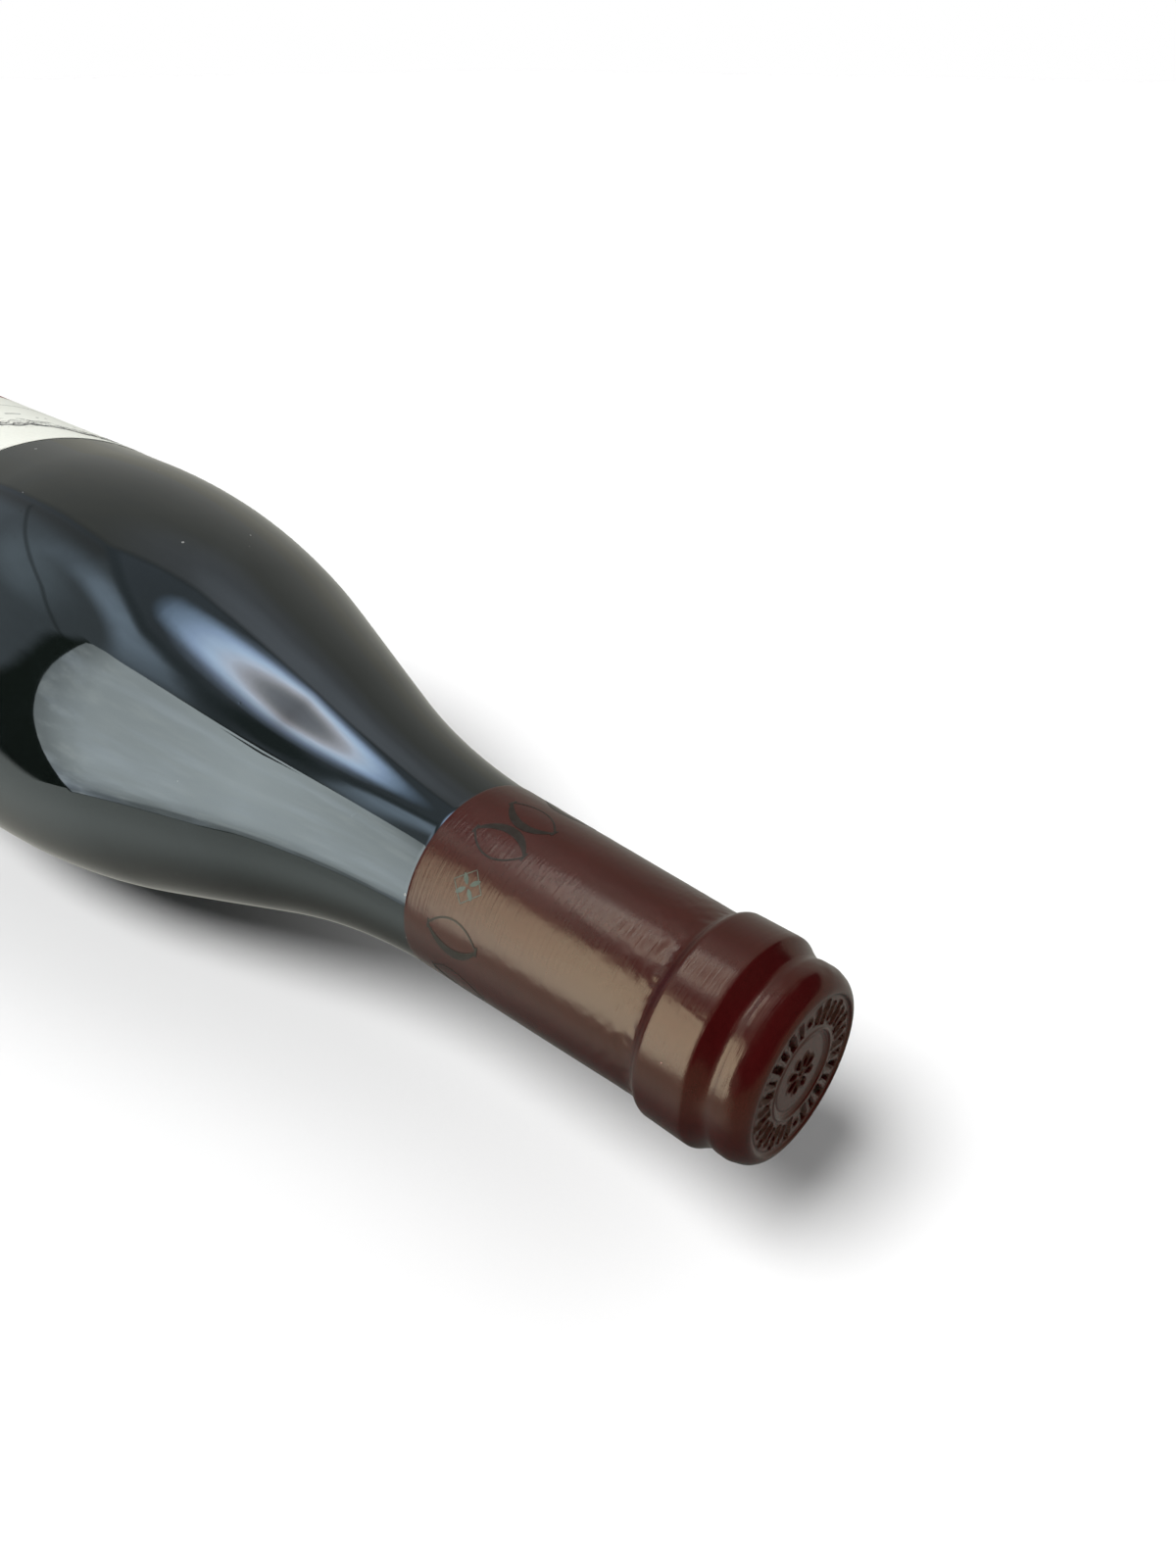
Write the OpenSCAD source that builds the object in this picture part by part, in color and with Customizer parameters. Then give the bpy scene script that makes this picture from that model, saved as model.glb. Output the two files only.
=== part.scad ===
// Wine bottle of the sloping-shoulder kind, lying on its side on a narrow flat.
// A dark glass bottle, closed and full, with a burgundy foil capsule over its
// neck and a paper label on its body. The axis runs along X with the mouth at
// +X. The origin is under the middle of the bottle, on the surface it lies on.
// Heights along the bottle are called s and are measured from the mouth end.

/* [Bottle] */
// Overall length from the base to the end of the capsule
bottle_len = 296; // [285:1:310]
// Radius of the cylindrical body
body_r = 41.1; // [40:0.1:43]
// Radius of the heel curve between the body and the base
heel_r = 6; // [4:0.5:8]
// Depth of the narrow flat that the bottle lies on
rest_flat = 0.3; // [0.2:0.05:0.5]

/* [Shoulder] */
// Distance from the mouth end to where the neck starts to flare
flare_s = 54.2; // [52:0.1:56]
// Radius of the hollow curve from the neck into the flare
flare_curve = 121.9; // [112:0.1:130]
// Steepest slope of the flare, in degrees
flare_slope = 19.35; // [18.5:0.05:20]
// Radius of the full curve from the flare into the body
shoulder_curve = 163.3; // [155:0.1:170]

/* [Neck and mouth] */
// Glass radius just under the collar
neck_r = 13.65; // [13.4:0.05:13.9]
// Taper of the neck, in degrees to one side
neck_taper = 2.08; // [1.8:0.01:2.2]
// Distance from the mouth end to where the plain neck starts
neck_s = 17.6; // [17:0.1:18.5]
// Outside radius of the collar
collar_r = 15; // [14.6:0.05:15.4]
// Distance from the mouth end to the front of the collar
collar_front = 6.15; // [6.1:0.05:6.3]
// Distance from the mouth end to the back of the collar
collar_back = 16.2; // [16:0.1:16.8]
// Rounding of the collar's front shoulder
collar_round_front = 1.9; // [1.6:0.1:2]
// Rounding of the collar's back shoulder
collar_round_back = 1.5; // [1.2:0.1:1.6]
// Outside radius of the lip in front of the collar
lip_r = 13.7; // [13.5:0.05:13.9]
// Rounding of the lip towards the end disc
lip_round = 2.7; // [2.2:0.1:3]
// Radius in the groove between the lip and the collar
groove_r = 13.35; // [13.1:0.05:13.4]

/* [Capsule] */
// Length of the capsule along the neck
capsule_len = 58; // [50:0.5:62]
// Wall of the capsule
capsule_wall = 0.13; // [0.1:0.01:0.16]
// Radius of the pressed ring in the middle of the end disc
press_r = 6.25; // [5.5:0.05:7]
// Depth of the sunk field inside the pressed ring
press_depth = 0.45; // [0.2:0.05:0.6]

/* [Punt] */
// Radius of the mouth of the hollow in the base
punt_r = 27; // [24:0.5:29]
// Depth of the hollow in the base
punt_depth = 20; // [12:0.5:24]

/* [Label] */
// Distance from the mouth end to the upper edge of the label
label_s = 186.8; // [180:0.5:195]
// Height of the label along the bottle
label_h = 85; // [70:1:88]
// Angle that the label wraps round the body
label_angle = 140; // [100:1:180]
// Thickness of the label paper
label_t = 0.12; // [0.1:0.01:0.2]

/* [Hidden] */
$fn = 96;

// Clearance that keeps neighbouring skins apart
gap = 0.02;
// How far the glass lies inside the capsule's outer face
skin = capsule_wall + gap;
axis_z = body_r - rest_flat;

// Neck radius of the glass at a distance s from the mouth end
function glass_neck(s) = neck_r + (s - neck_s) * tan(neck_taper);

// Flare: a hollow arc, a cone and a full arc that meet tangentially
r0 = glass_neck(flare_s);
s1 = flare_s + flare_curve * (sin(flare_slope) - sin(neck_taper));
r1 = r0 + flare_curve * (cos(neck_taper) - cos(flare_slope));
r2 = body_r - shoulder_curve * (1 - cos(flare_slope));
s2 = s1 + (r2 - r1) / tan(flare_slope);
s3 = s2 + shoulder_curve * sin(flare_slope);

function arc(c, r, a0, a1, n) =
    [for (i = [0 : n]) let (a = a0 + (a1 - a0) * i / n) [c[0] + r * cos(a), c[1] + r * sin(a)]];

// Outline [radius, height] of the mouth end, drawn inwards by t
function mouth(t) = let (L = bottle_len) concat(
    arc([lip_r - lip_round, L - lip_round], lip_round - t, 90, 0, 8),
    [[lip_r - t, L - 4.1], [groove_r - t, L - 5.2], [groove_r - t, L - 5.95]],
    arc([collar_r - collar_round_front, L - collar_front - collar_round_front], collar_round_front - t, 80, 0, 6),
    arc([collar_r - collar_round_back, L - collar_back + collar_round_back], collar_round_back - t, 0, -70, 5),
    [[neck_r + skin - t, L - neck_s]]
);

function flare() = concat(
    [for (i = [0 : 10]) let (b = neck_taper + (flare_slope - neck_taper) * i / 10)
        [r0 + flare_curve * (cos(neck_taper) - cos(b)),
         bottle_len - flare_s - flare_curve * (sin(b) - sin(neck_taper))]],
    [for (i = [0 : 12]) let (b = flare_slope * (1 - i / 12))
        [body_r - shoulder_curve * (1 - cos(b)), bottle_len - s3 + shoulder_curve * sin(b)]]
);

// Dome of the punt: one arc centred on the axis
dome_r = (punt_r * punt_r + punt_depth * punt_depth) / (2 * punt_depth);
dome_a = asin(punt_r / dome_r);
dome_half = punt_depth > punt_r ? 180 - dome_a : dome_a;

function base() = concat(
    arc([body_r - heel_r, heel_r], heel_r, 0, -90, 8),
    [[punt_r + 1.2, 0]],
    [for (i = [0 : 10]) let (a = dome_half * (1 - i / 10)) [dome_r * sin(a), punt_depth - dome_r + dome_r * cos(a)]]
);

// Lays a shape drawn upright along X, on the rest flat
module lay() {
    translate([-bottle_len / 2, 0, axis_z]) rotate([0, 90, 0]) children();
}

module bottle() {
    color([0.07, 0.08, 0.08])
    difference() {
        lay() rotate_extrude() polygon(concat([[0, bottle_len - skin - press_depth]],
            [[press_r, bottle_len - skin - press_depth], [press_r + 0.5, bottle_len - skin]],
            mouth(skin), flare(), base()));
        // The narrow flat along the underside
        translate([-bottle_len / 2 - 5, -body_r, -5]) cube([bottle_len + 10, 2 * body_r, 5]);
    }
}

module capsule() {
    color([0.33, 0.11, 0.11])
    lay() rotate_extrude() polygon(concat(
        [[0, bottle_len - press_depth], [press_r, bottle_len - press_depth], [press_r + 0.5, bottle_len]],
        mouth(0),
        [[glass_neck(capsule_len - 0.5) + skin, bottle_len - capsule_len]],
        [[glass_neck(capsule_len - 0.5) + skin - capsule_wall, bottle_len - capsule_len]],
        [for (i = [len(mouth(0)) - 1 : -1 : 0]) mouth(capsule_wall)[i]],
        [[press_r + 0.5, bottle_len - capsule_wall], [press_r, bottle_len - press_depth - capsule_wall],
         [0, bottle_len - press_depth - capsule_wall]]));
}

module label() {
    color([0.86, 0.86, 0.80])
    translate([-bottle_len / 2, 0, axis_z]) rotate([0, 90, 0])
        rotate([0, 0, 180 - label_angle / 2]) rotate_extrude(angle = label_angle)
            translate([body_r + gap, bottle_len - label_s - label_h]) square([label_t, label_h]);
}

bottle();
capsule();
label();
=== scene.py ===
import math
import random

import bpy
import numpy as np
from mathutils import Matrix, Vector


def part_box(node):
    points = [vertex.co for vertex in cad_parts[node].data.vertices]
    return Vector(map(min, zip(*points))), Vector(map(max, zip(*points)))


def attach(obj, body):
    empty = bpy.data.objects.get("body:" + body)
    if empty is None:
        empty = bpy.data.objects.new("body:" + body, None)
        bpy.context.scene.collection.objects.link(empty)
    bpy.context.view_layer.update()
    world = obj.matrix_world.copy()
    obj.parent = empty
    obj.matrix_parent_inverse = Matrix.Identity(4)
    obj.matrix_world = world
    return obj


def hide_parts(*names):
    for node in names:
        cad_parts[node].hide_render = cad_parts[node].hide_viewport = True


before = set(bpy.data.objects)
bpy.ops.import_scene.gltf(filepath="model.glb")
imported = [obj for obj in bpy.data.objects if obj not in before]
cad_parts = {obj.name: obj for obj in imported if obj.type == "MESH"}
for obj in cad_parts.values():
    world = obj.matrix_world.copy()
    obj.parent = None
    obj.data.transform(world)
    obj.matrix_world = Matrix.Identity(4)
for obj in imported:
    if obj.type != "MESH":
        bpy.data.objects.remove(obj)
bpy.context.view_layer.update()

scene = bpy.context.scene
scene.view_settings.view_transform = "Standard"
MM = 0.001

# ---------------------------------------------------------------- sizes (mm)
lo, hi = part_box("bottle")
LEN = 296.0
X_END = 148.0                     # mouth end; s is the distance back from it
R = 41.1
AXIS_Z = R - 0.3
NECK_R, NECK_S, NECK_T = 13.65, 17.6, math.radians(2.08)
FLARE_S, FLARE_C, SLOPE, SHOULDER = 54.2, 121.9, math.radians(19.35), 163.3
SKIN, WALL = 0.15, 0.13
CAP_LEN = 58.0
HEEL = 6.0
PUNT_R, PUNT_D = 27.0, 20.0


def neck(s):
    return NECK_R + (s - NECK_S) * math.tan(NECK_T)


r0 = neck(FLARE_S)
s1 = FLARE_S + FLARE_C * (math.sin(SLOPE) - math.sin(NECK_T))
r1 = r0 + FLARE_C * (math.cos(NECK_T) - math.cos(SLOPE))
r2 = R - SHOULDER * (1 - math.cos(SLOPE))
s2 = s1 + (r2 - r1) / math.tan(SLOPE)
s3 = s2 + SHOULDER * math.sin(SLOPE)


def glass_r(s):
    if s < FLARE_S:
        return neck(s)
    if s < s1:
        t = (s - FLARE_S) / FLARE_C + math.sin(NECK_T)
        return r0 + FLARE_C * (math.cos(NECK_T) - math.sqrt(1 - t * t))
    if s < s2:
        return r1 + (s - s1) * math.tan(SLOPE)
    if s < s3:
        t = (s3 - s) / SHOULDER
        return R - SHOULDER * (1 - math.sqrt(1 - t * t))
    return R


def arc(cs, cr, rad, a0, a1, n):
    """Points [s, r]; angle 90 points to the mouth end, 0 points outwards."""
    out = []
    for i in range(n + 1):
        a = math.radians(a0 + (a1 - a0) * i / n)
        out.append((cs - rad * math.sin(a), cr + rad * math.cos(a)))
    return out


def spline(pts, per):
    """Smooth curve through points (Catmull-Rom), per steps in each span."""
    P = [pts[0]] + list(pts) + [pts[-1]]
    out = []
    for i in range(1, len(P) - 2):
        p0, p1, p2, p3 = P[i - 1:i + 3]
        for k in range(per):
            t = k / per
            out.append(tuple(0.5 * (2 * b_ + (c_ - a_) * t + (2 * a_ - 5 * b_ + 4 * c_ - d_) * t * t
                                    + (3 * b_ - a_ - 3 * c_ + d_) * t ** 3) for a_, b_, c_, d_ in zip(p0, p1, p2, p3)))
    out.append(tuple(pts[-1]))
    return out


def mouth(t, n=3):
    """Outline of the lip, groove and collar, drawn inwards by t: [s, r]."""
    p = []
    for i in range(7 * n + 1):                                    # rounded lip
        a = math.pi / 2 * i / (7 * n)
        p.append((3.5 - 3.5 * math.cos(a), 11.35 + (2.33 - t) * math.sin(a) ** 1.15))
    g = spline([(3.5, 13.68), (4.4, 13.68), (5.2, 13.58), (5.75, 13.64), (6.3, 13.86), (6.85, 14.18), (7.35, 14.52), (7.75, 14.80),
                (8.1, 14.95), (8.6, 15.0), (9.2, 15.0)], 2 * n)
    p += [(s, r - t) for s, r in g[1:]]
    p += [(9.2 + 5.5 * k / 9, 15.0 - t) for k in range(1, 9)]
    p += arc(16.2 - 1.5, 15 - 1.5, 1.5 - t, 0, -50, 3 * n)
    p += [(s, r - t) for s, r in spline([(15.85, 14.46), (16.25, 14.12), (16.75, 13.92), (17.5, NECK_R + SKIN + 0.03), (18.3, neck(18.3) + SKIN)], n)[1:]]
    return p


# ---------------------------------------------------------------- mesh makers
def smooth(me, on=True):
    me.polygons.foreach_set("use_smooth", [on] * len(me.polygons))


def add(name, verts, faces, mats=(), body="root"):
    me = bpy.data.meshes.new(name)
    me.from_pydata([tuple(v) for v in verts], [], faces)
    me.validate()
    me.update()
    smooth(me)
    o = bpy.data.objects.new(name, me)
    scene.collection.objects.link(o)
    for m in mats:
        me.materials.append(m)
    if body:
        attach(o, body)
    return o


def lathe_grid(rows, seg, disp=None, close_first=True, close_last=True):
    """rows: [s, r, tag]; returns vertices in metres and faces, closed at both ends on the axis."""
    rows = np.array(rows, float)
    n = len(rows)
    ph = np.arange(seg) * 2 * math.pi / seg
    S = np.repeat(rows[:, 0][:, None], seg, 1)
    RR = np.repeat(rows[:, 1][:, None], seg, 1)
    PH = np.repeat(ph[None, :], n, 0)
    if disp is not None:
        S, RR = disp(S, RR, PH)
    V = np.stack([X_END - S, RR * np.sin(PH), AXIS_Z + RR * np.cos(PH)], -1).reshape(-1, 3)
    F = []
    for i in range(n - 1):
        a, b = i * seg, (i + 1) * seg
        for j in range(seg):
            k = (j + 1) % seg
            F.append((a + j, b + j, b + k, a + k))
    V = list(map(tuple, V))
    if close_first:
        c = len(V)
        V.append((X_END - rows[0, 0], 0.0, AXIS_Z))
        F += [(c, j, (j + 1) % seg) for j in range(seg)]
    if close_last:
        c = len(V)
        base = (n - 1) * seg
        V.append((X_END - rows[-1, 0], 0.0, AXIS_Z))
        F += [(c, base + (j + 1) % seg, base + j) for j in range(seg)]
    return np.array(V) * MM, F


def wave(S, PH, terms):
    out = np.zeros_like(S)
    for ks, kp, a, p in terms:
        out += a * np.sin(S * ks + kp * PH + p)
    return out


def bump01(x, lo_, hi_):
    t = np.clip((x - lo_) / (hi_ - lo_), 0, 1)
    return t * t * (3 - 2 * t)


# ---------------------------------------------------------------- node helpers
class Tree:
    def __init__(self, tree):
        self.t = tree
        self.n = tree.nodes
        self.l = tree.links

    def node(self, kind, **kw):
        nd = self.n.new(kind)
        for k, v in kw.items():
            setattr(nd, k, v)
        return nd

    def put(self, sock, v):
        if hasattr(v, "links") or isinstance(v, bpy.types.NodeSocket):
            self.l.new(v, sock)
        elif isinstance(v, (tuple, list, Vector)):
            v = tuple(v)
            if len(sock.default_value) == 4 and len(v) == 3:
                v = v + (1.0,)
            sock.default_value = v
        else:
            sock.default_value = v

    def math(self, op, a, b=None, c=None, clamp=False):
        nd = self.node("ShaderNodeMath", operation=op, use_clamp=clamp)
        self.put(nd.inputs[0], a)
        if b is not None:
            self.put(nd.inputs[1], b)
        if c is not None:
            self.put(nd.inputs[2], c)
        return nd.outputs[0]

    def dot(self, a, b):
        nd = self.node("ShaderNodeVectorMath", operation="DOT_PRODUCT")
        self.put(nd.inputs[0], a)
        self.put(nd.inputs[1], b)
        return nd.outputs["Value"]

    def smoothstep(self, x, a, b, lo_=0.0, hi_=1.0):
        nd = self.node("ShaderNodeMapRange", interpolation_type="SMOOTHSTEP")
        self.put(nd.inputs["Value"], x)
        nd.inputs["From Min"].default_value = a
        nd.inputs["From Max"].default_value = b
        nd.inputs["To Min"].default_value = lo_
        nd.inputs["To Max"].default_value = hi_
        return nd.outputs["Result"]

    def mix(self, f, a, b):
        nd = self.node("ShaderNodeMix", data_type="RGBA")
        self.put(nd.inputs[0], f)
        self.put(nd.inputs[6], a)
        self.put(nd.inputs[7], b)
        return nd.outputs[2]

    def addc(self, f, a, b):
        nd = self.node("ShaderNodeMix", data_type="RGBA", blend_type="ADD")
        nd.clamp_result = False
        self.put(nd.inputs[0], f)
        self.put(nd.inputs[6], a)
        self.put(nd.inputs[7], b)
        return nd.outputs[2]

    def ramp(self, f, stops, interp="LINEAR"):
        nd = self.node("ShaderNodeValToRGB")
        nd.color_ramp.interpolation = interp
        el = nd.color_ramp.elements
        while len(el) < len(stops):
            el.new(0.5)
        for e, (p, c) in zip(el, stops):
            e.position = p
            e.color = tuple(c) + (1.0,) if len(c) == 3 else c
        self.put(nd.inputs[0], f)
        return nd.outputs[0]

    def noise(self, vec, scale, detail=3.0, rough=0.5, dist=0.0):
        nd = self.node("ShaderNodeTexNoise")
        nd.inputs["Scale"].default_value = scale
        nd.inputs["Detail"].default_value = detail
        nd.inputs["Roughness"].default_value = rough
        nd.inputs["Distortion"].default_value = dist
        if vec is not None:
            self.l.new(vec, nd.inputs["Vector"])
        return nd.outputs[0]


def material(name):
    m = bpy.data.materials.new(name)
    m.use_nodes = True
    m.node_tree.nodes.clear()
    t = Tree(m.node_tree)
    out = t.node("ShaderNodeOutputMaterial")
    bsdf = t.node("ShaderNodeBsdfPrincipled")
    t.l.new(bsdf.outputs[0], out.inputs[0])
    return m, t, bsdf


def direction(az, el):
    a, e = math.radians(az), math.radians(el)
    return Vector((math.cos(e) * math.cos(a), math.cos(e) * math.sin(a), math.sin(e)))


# ---------------------------------------------------------------- materials
def glass_material():
    m, t, b = material("bottle_glass")
    tc = t.node("ShaderNodeTexCoord").outputs["Object"]
    b.inputs["Base Color"].default_value = (0.004, 0.006, 0.005, 1)
    b.inputs["IOR"].default_value = 1.52
    b.inputs["Roughness"].default_value = 0.03
    # dust specks
    vor = t.node("ShaderNodeTexVoronoi")
    vor.inputs["Scale"].default_value = 210.0
    t.l.new(tc, vor.inputs["Vector"])
    sep = t.node("ShaderNodeSeparateColor")
    t.l.new(vor.outputs["Color"], sep.inputs[0])
    pick = t.math("GREATER_THAN", sep.outputs[0], 0.55)
    size = t.math("MULTIPLY_ADD", t.math("POWER", sep.outputs[1], 3.0), 0.045, 0.018)
    speck = t.math("MULTIPLY", t.math("LESS_THAN", vor.outputs["Distance"], size), pick)
    smear = t.noise(tc, 38.0, 5.0, 0.6, 0.6)
    film = t.smoothstep(smear, 0.5, 0.8)
    grain = t.noise(tc, 900.0, 2.0)
    base = t.mix(film, (0.004, 0.006, 0.005), (0.007, 0.010, 0.010))
    col = t.mix(speck, base, (0.22, 0.22, 0.21))
    t.l.new(col, b.inputs["Base Color"])
    rough = t.math("MULTIPLY_ADD", film, 0.035, 0.028)
    rough = t.math("MULTIPLY_ADD", speck, 0.5, rough)
    t.l.new(rough, b.inputs["Roughness"])
    # pits and the faint orange peel of moulded glass
    pit = t.node("ShaderNodeTexVoronoi")
    pit.inputs["Scale"].default_value = 420.0
    t.l.new(tc, pit.inputs["Vector"])
    sp2 = t.node("ShaderNodeSeparateColor")
    t.l.new(pit.outputs["Color"], sp2.inputs[0])
    hole = t.math("MULTIPLY", t.smoothstep(pit.outputs["Distance"], 0.16, 0.02),
                  t.math("GREATER_THAN", sp2.outputs[2], 0.95))
    peel = t.noise(tc, 120.0, 3.0, 0.55)
    h = t.math("MULTIPLY_ADD", hole, -0.35, t.math("MULTIPLY", peel, 0.25))
    h = t.math("MULTIPLY_ADD", grain, 0.012, h)
    bp = t.node("ShaderNodeBump")
    bp.inputs["Strength"].default_value = 0.06
    bp.inputs["Distance"].default_value = 0.0004
    t.l.new(h, bp.inputs["Height"])
    t.l.new(bp.outputs[0], b.inputs["Normal"])
    return m


def capsule_material():
    m, t, b = material("capsule_foil")
    tc = t.node("ShaderNodeTexCoord").outputs["Object"]
    n1 = t.noise(tc, 60.0, 4.0, 0.6)
    n2 = t.noise(tc, 900.0, 3.0, 0.6)
    base = t.mix(t.smoothstep(n1, 0.3, 0.7), (0.027, 0.0013, 0.0017), (0.033, 0.0020, 0.0024))
    base = t.mix(t.smoothstep(n2, 0.35, 0.65, 0.0, 0.35), base, (0.022, 0.0010, 0.0014))
    vor = t.node("ShaderNodeTexVoronoi")
    vor.inputs["Scale"].default_value = 330.0
    t.l.new(tc, vor.inputs["Vector"])
    sep = t.node("ShaderNodeSeparateColor")
    t.l.new(vor.outputs["Color"], sep.inputs[0])
    speck = t.math("MULTIPLY", t.math("LESS_THAN", vor.outputs["Distance"], 0.05),
                   t.math("GREATER_THAN", sep.outputs[0], 0.965))
    base = t.mix(speck, base, (0.42, 0.22, 0.20))
    t.l.new(base, b.inputs["Base Color"])
    b.inputs["IOR"].default_value = 1.476
    b.inputs["Specular Tint"].default_value = (1.0, 0.745, 0.47, 1)
    b.inputs["Roughness"].default_value = 0.24
    r = t.math("MULTIPLY_ADD", n1, 0.08, 0.17)
    t.l.new(r, b.inputs["Roughness"])
    h = t.math("MULTIPLY_ADD", n2, 0.5, t.math("MULTIPLY", t.noise(tc, 380.0, 4.0, 0.65), 0.6))
    # fine rings left by the spinning rollers
    mp = t.node("ShaderNodeMapping")
    mp.inputs["Scale"].default_value = (2600.0, 110.0, 110.0)
    t.l.new(tc, mp.inputs["Vector"])
    h = t.math("MULTIPLY_ADD", t.noise(mp.outputs[0], 1.0, 3.0, 0.6), 0.9, h)
    bp = t.node("ShaderNodeBump")
    bp.inputs["Strength"].default_value = 0.14
    bp.inputs["Distance"].default_value = 0.00025
    t.l.new(h, bp.inputs["Height"])
    t.l.new(bp.outputs[0], b.inputs["Normal"])
    return m


def paper_material():
    m, t, b = material("label_paper")
    tc = t.node("ShaderNodeTexCoord").outputs["Object"]
    n1 = t.noise(tc, 25.0, 3.0, 0.5)
    n2 = t.noise(tc, 1400.0, 4.0, 0.65)
    col = t.mix(t.smoothstep(n1, 0.3, 0.7), (0.70, 0.71, 0.64), (0.76, 0.77, 0.70))
    col = t.mix(t.smoothstep(n2, 0.35, 0.7, 0.0, 0.25), col, (0.60, 0.60, 0.54))
    t.l.new(col, b.inputs["Base Color"])
    b.inputs["Roughness"].default_value = 0.72
    b.inputs["IOR"].default_value = 1.4
    bp = t.node("ShaderNodeBump")
    bp.inputs["Strength"].default_value = 0.25
    bp.inputs["Distance"].default_value = 0.0001
    t.l.new(n2, bp.inputs["Height"])
    t.l.new(bp.outputs[0], b.inputs["Normal"])
    return m


def ink_material(name, colour, rough, spread=0.3):
    m, t, b = material(name)
    tc = t.node("ShaderNodeTexCoord").outputs["Object"]
    n = t.noise(tc, 1100.0, 3.0, 0.6)
    lighter = tuple(c * (1 + spread) + 0.004 for c in colour)
    t.l.new(t.mix(t.smoothstep(n, 0.35, 0.65), colour, lighter), b.inputs["Base Color"])
    t.l.new(t.math("MULTIPLY_ADD", n, 0.12, rough - 0.06), b.inputs["Roughness"])
    b.inputs["IOR"].default_value = 1.42
    return m


GLASS = glass_material()
FOIL = capsule_material()
PAPER = paper_material()
INK_DARK = ink_material("capsule_ink", (0.0075, 0.0045, 0.0035), 0.34)
for ink_mat in (INK_DARK,):
    for nd in ink_mat.node_tree.nodes:
        if nd.type == "BSDF_PRINCIPLED":
            nd.inputs["Specular Tint"].default_value = (0.75, 0.62, 0.42, 1)
INK_GREEN = ink_material("capsule_ink_green", (0.040, 0.048, 0.030), 0.40)
INK_GREY = ink_material("label_ink", (0.022, 0.021, 0.020), 0.6)
INK_WINE = ink_material("label_band", (0.16, 0.018, 0.022), 0.55)

# ---------------------------------------------------------------- glass bottle
def bottle_rows():
    rows = []
    # hidden mouth under the capsule
    ins = 0.30
    rows += [(0.75 + ins, r) for r in (4.0, 8.0)]
    rows += [(s + ins, r - 0.2) for s, r in mouth(SKIN, 1)][2:-1]
    for s in np.linspace(18.5, 55.5, 16):
        rows.append((s, neck(s) - 0.25))
    for s in (56.6, 57.2, 57.6):
        rows.append((s, neck(s) - 0.25 + 0.25 * (s - 56.2) / 1.4))
    for s in np.linspace(57.9, s3 + 6, 190):
        rows.append((s, glass_r(s)))
    for s in np.linspace(s3 + 9, LEN - HEEL, 34):
        rows.append((s, R))
    for i in range(1, 15):
        a = math.radians(90 * i / 14)
        rows.append((LEN - HEEL + HEEL * math.sin(a), R - HEEL + HEEL * math.cos(a)))
    for r in np.linspace(R - HEEL - 0.4, PUNT_R + 1.6, 14):
        rows.append((LEN, r))
    d_r = (PUNT_R ** 2 + PUNT_D ** 2) / (2 * PUNT_D)
    a0 = math.asin(PUNT_R / d_r)
    rows.append((LEN - 0.25, PUNT_R + 0.7))
    for i in range(0, 24):
        a = a0 * (1 - i / 24)
        rows.append((LEN - (PUNT_D - d_r + d_r * math.cos(a)) - 0.6 * (1 - i / 24), d_r * math.sin(a)))
    return rows


def bottle_disp(S, RR, PH):
    vis = bump01(S, 60, 80) * (1 - bump01(S, LEN - 12, LEN - 6))
    w = wave(S, PH, [(0.16, 1, 0.010, 0.4), (0.09, 2, 0.012, 1.7), (0.23, 3, 0.006, 2.9),
                     (0.05, 5, 0.009, 0.2), (0.31, 2, 0.004, 4.4), (0.12, 7, 0.004, 5.1)])
    RR2 = RR + (w - 0.02) * vis
    # two mould seams, opposite each other
    for c in (math.radians(96), math.radians(-84)):
        d = (PH - c + math.pi) % (2 * math.pi) - math.pi
        arcmm = d * RR
        RR2 += 0.045 * np.exp(-(arcmm / 0.30) ** 2) * bump01(S, 62, 70) * (1 - bump01(S, LEN - 5, LEN - 1))
    # bearing ring: fine stipples across the standing face
    ring = (S > LEN - 0.02) & (RR < R - HEEL + 0.1)
    k = bump01(RR, 30.2, 31.2) * (1 - bump01(RR, 33.8, 34.8)) * ring
    S2 = S + 0.22 * (k * (0.5 - 0.5 * np.cos(PH * 108)) - bump01(RR, 28, 29) * ring)
    S2 = np.minimum(S2, LEN - 0.0)
    return S2, RR2


V, F = lathe_grid(bottle_rows(), 216, bottle_disp)
V[:, 2] = np.maximum(V[:, 2], 0.00002)
bottle = add("bottle_glass", V, F, [GLASS])
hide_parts("bottle")

# ---------------------------------------------------------------- capsule
SEG = 280
rng = np.random.default_rng(7)


def noise_field(S, PH, n, ks, kp, seed):
    g = np.random.default_rng(seed)
    out = np.zeros_like(S)
    for i in range(n):
        a = g.uniform(*ks) * (1 if g.random() < 0.5 else -1)
        b = int(g.integers(*kp))
        out += np.sin(S * a + PH * b + g.uniform(0, 6.28)) / math.sqrt(n)
    return out


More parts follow.
